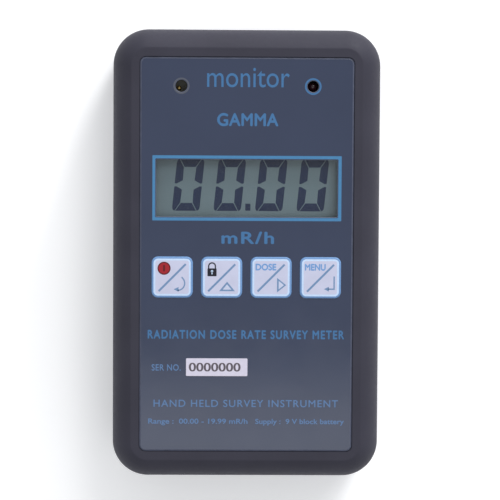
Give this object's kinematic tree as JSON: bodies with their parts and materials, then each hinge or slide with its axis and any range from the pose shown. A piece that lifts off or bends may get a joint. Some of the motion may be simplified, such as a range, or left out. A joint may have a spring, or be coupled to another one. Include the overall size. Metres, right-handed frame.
{
  "type": "geiger counter",
  "caption": "Pocket radiation dose-rate meter: a rounded plastic case with a digital display, push keys, a sounder port, an alarm lamp, a detector tube and a battery behind a sliding door.",
  "frame": {"origin": "middle of the flat rear face, which the meter lies on", "axes": "+Z out of the front panel, +Y towards the end with the sounder port and the alarm lamp, +X to the right of someone reading the display"},
  "size_m": [0.0666, 0.1116, 0.0281],
  "materials": {
    "case_plastic": "fine moulded texture",
    "panel_film": "satin printed film",
    "key_film": "satin printed film over a soft dome",
    "label_paper": "matt label stock",
    "clear_plastic": "clear polished acrylic",
    "display_glass": "polished",
    "reflector_foil": "grey transflective film",
    "board_laminate": "solder-masked glass-fibre laminate",
    "black_plastic": "moulded",
    "steel": "zinc plated",
    "brass": "satin",
    "tinned_metal": "tin plated",
    "ferrite": "sintered",
    "winding_tape": "polyester tape",
    "ceramic_blue": "lacquered",
    "ceramic_white": "matt",
    "red_lens": "tinted epoxy",
    "battery_jacket": "painted steel jacket",
    "red_vinyl": "vinyl sleeve",
    "black_vinyl": "vinyl",
    "trimmer_blue": "moulded"
  },
  "bodies": {
    "root": {"front_shell": "case_plastic", "rear_shell": "case_plastic", "graphic_panel": "panel_film", "display_lens": "clear_plastic", "serial_label": "label_paper", "display_pins_upper": "tinned_metal", "display_pins_lower": "tinned_metal", "display_polariser": "display_glass", "display_front_glass": "display_glass", "display_rear_glass": "display_glass", "display_reflector": "reflector_foil", "circuit_board": "board_laminate", "alarm_lamp": "red_lens", "sounder_cup": "black_plastic", "sounder_plate": "brass", "transformer_core": "ferrite", "transformer_winding": "winding_tape", "high_voltage_capacitor_1": "ceramic_blue", "high_voltage_capacitor_2": "ceramic_blue", "processor": "black_plastic", "crystal": "tinned_metal", "reservoir_capacitor": "black_vinyl", "voltage_regulator": "black_plastic", "calibration_trimmer": "trimmer_blue", "lead_header": "ceramic_white", "tube_body": "steel", "tube_filter_sleeve": "tinned_metal", "tube_insulator": "ceramic_white", "tube_anode_pin": "brass", "anode_resistor": "ceramic_blue", "tube_clip_left": "brass", "tube_clip_right": "brass", "battery_body": "battery_jacket", "battery_terminal_plus": "tinned_metal", "battery_terminal_minus": "tinned_metal", "snap_connector": "black_vinyl", "battery_lead_red": "red_vinyl", "battery_lead_black": "black_vinyl", "case_screw_1": "steel", "case_screw_2": "steel", "case_screw_3": "steel", "case_screw_4": "steel", "board_screw_1": "steel", "board_screw_2": "steel", "board_screw_3": "steel", "board_screw_4": "steel", "switch_body_power": "black_plastic", "switch_body_lock_up": "black_plastic", "switch_body_dose_right": "black_plastic", "switch_body_menu_enter": "black_plastic"},
    "battery_cover": {"battery_door": "case_plastic"},
    "key_power": {"key_pad_power": "key_film", "switch_plunger_power": "black_plastic"},
    "key_lock_up": {"key_pad_lock_up": "key_film", "switch_plunger_lock_up": "black_plastic"},
    "key_dose_right": {"key_pad_dose_right": "key_film", "switch_plunger_dose_right": "black_plastic"},
    "key_menu_enter": {"key_pad_menu_enter": "key_film", "switch_plunger_menu_enter": "black_plastic"}
  },
  "joints": [
    {"name": "battery_door_slide", "type": "slide", "parent": "root", "child": "battery_cover", "axis": [0, -1, 0], "range_m": [0, 0.032]},
    {"name": "key_power_press", "type": "slide", "parent": "root", "child": "key_power", "axis": [0, 0, -1], "range_m": [0, 0.0004], "stiffness_N_per_m": 2000},
    {"name": "key_lock_up_press", "type": "slide", "parent": "root", "child": "key_lock_up", "axis": [0, 0, -1], "range_m": [0, 0.0004], "stiffness_N_per_m": 2000},
    {"name": "key_dose_right_press", "type": "slide", "parent": "root", "child": "key_dose_right", "axis": [0, 0, -1], "range_m": [0, 0.0004], "stiffness_N_per_m": 2000},
    {"name": "key_menu_enter_press", "type": "slide", "parent": "root", "child": "key_menu_enter", "axis": [0, 0, -1], "range_m": [0, 0.0004], "stiffness_N_per_m": 2000}
  ]
}
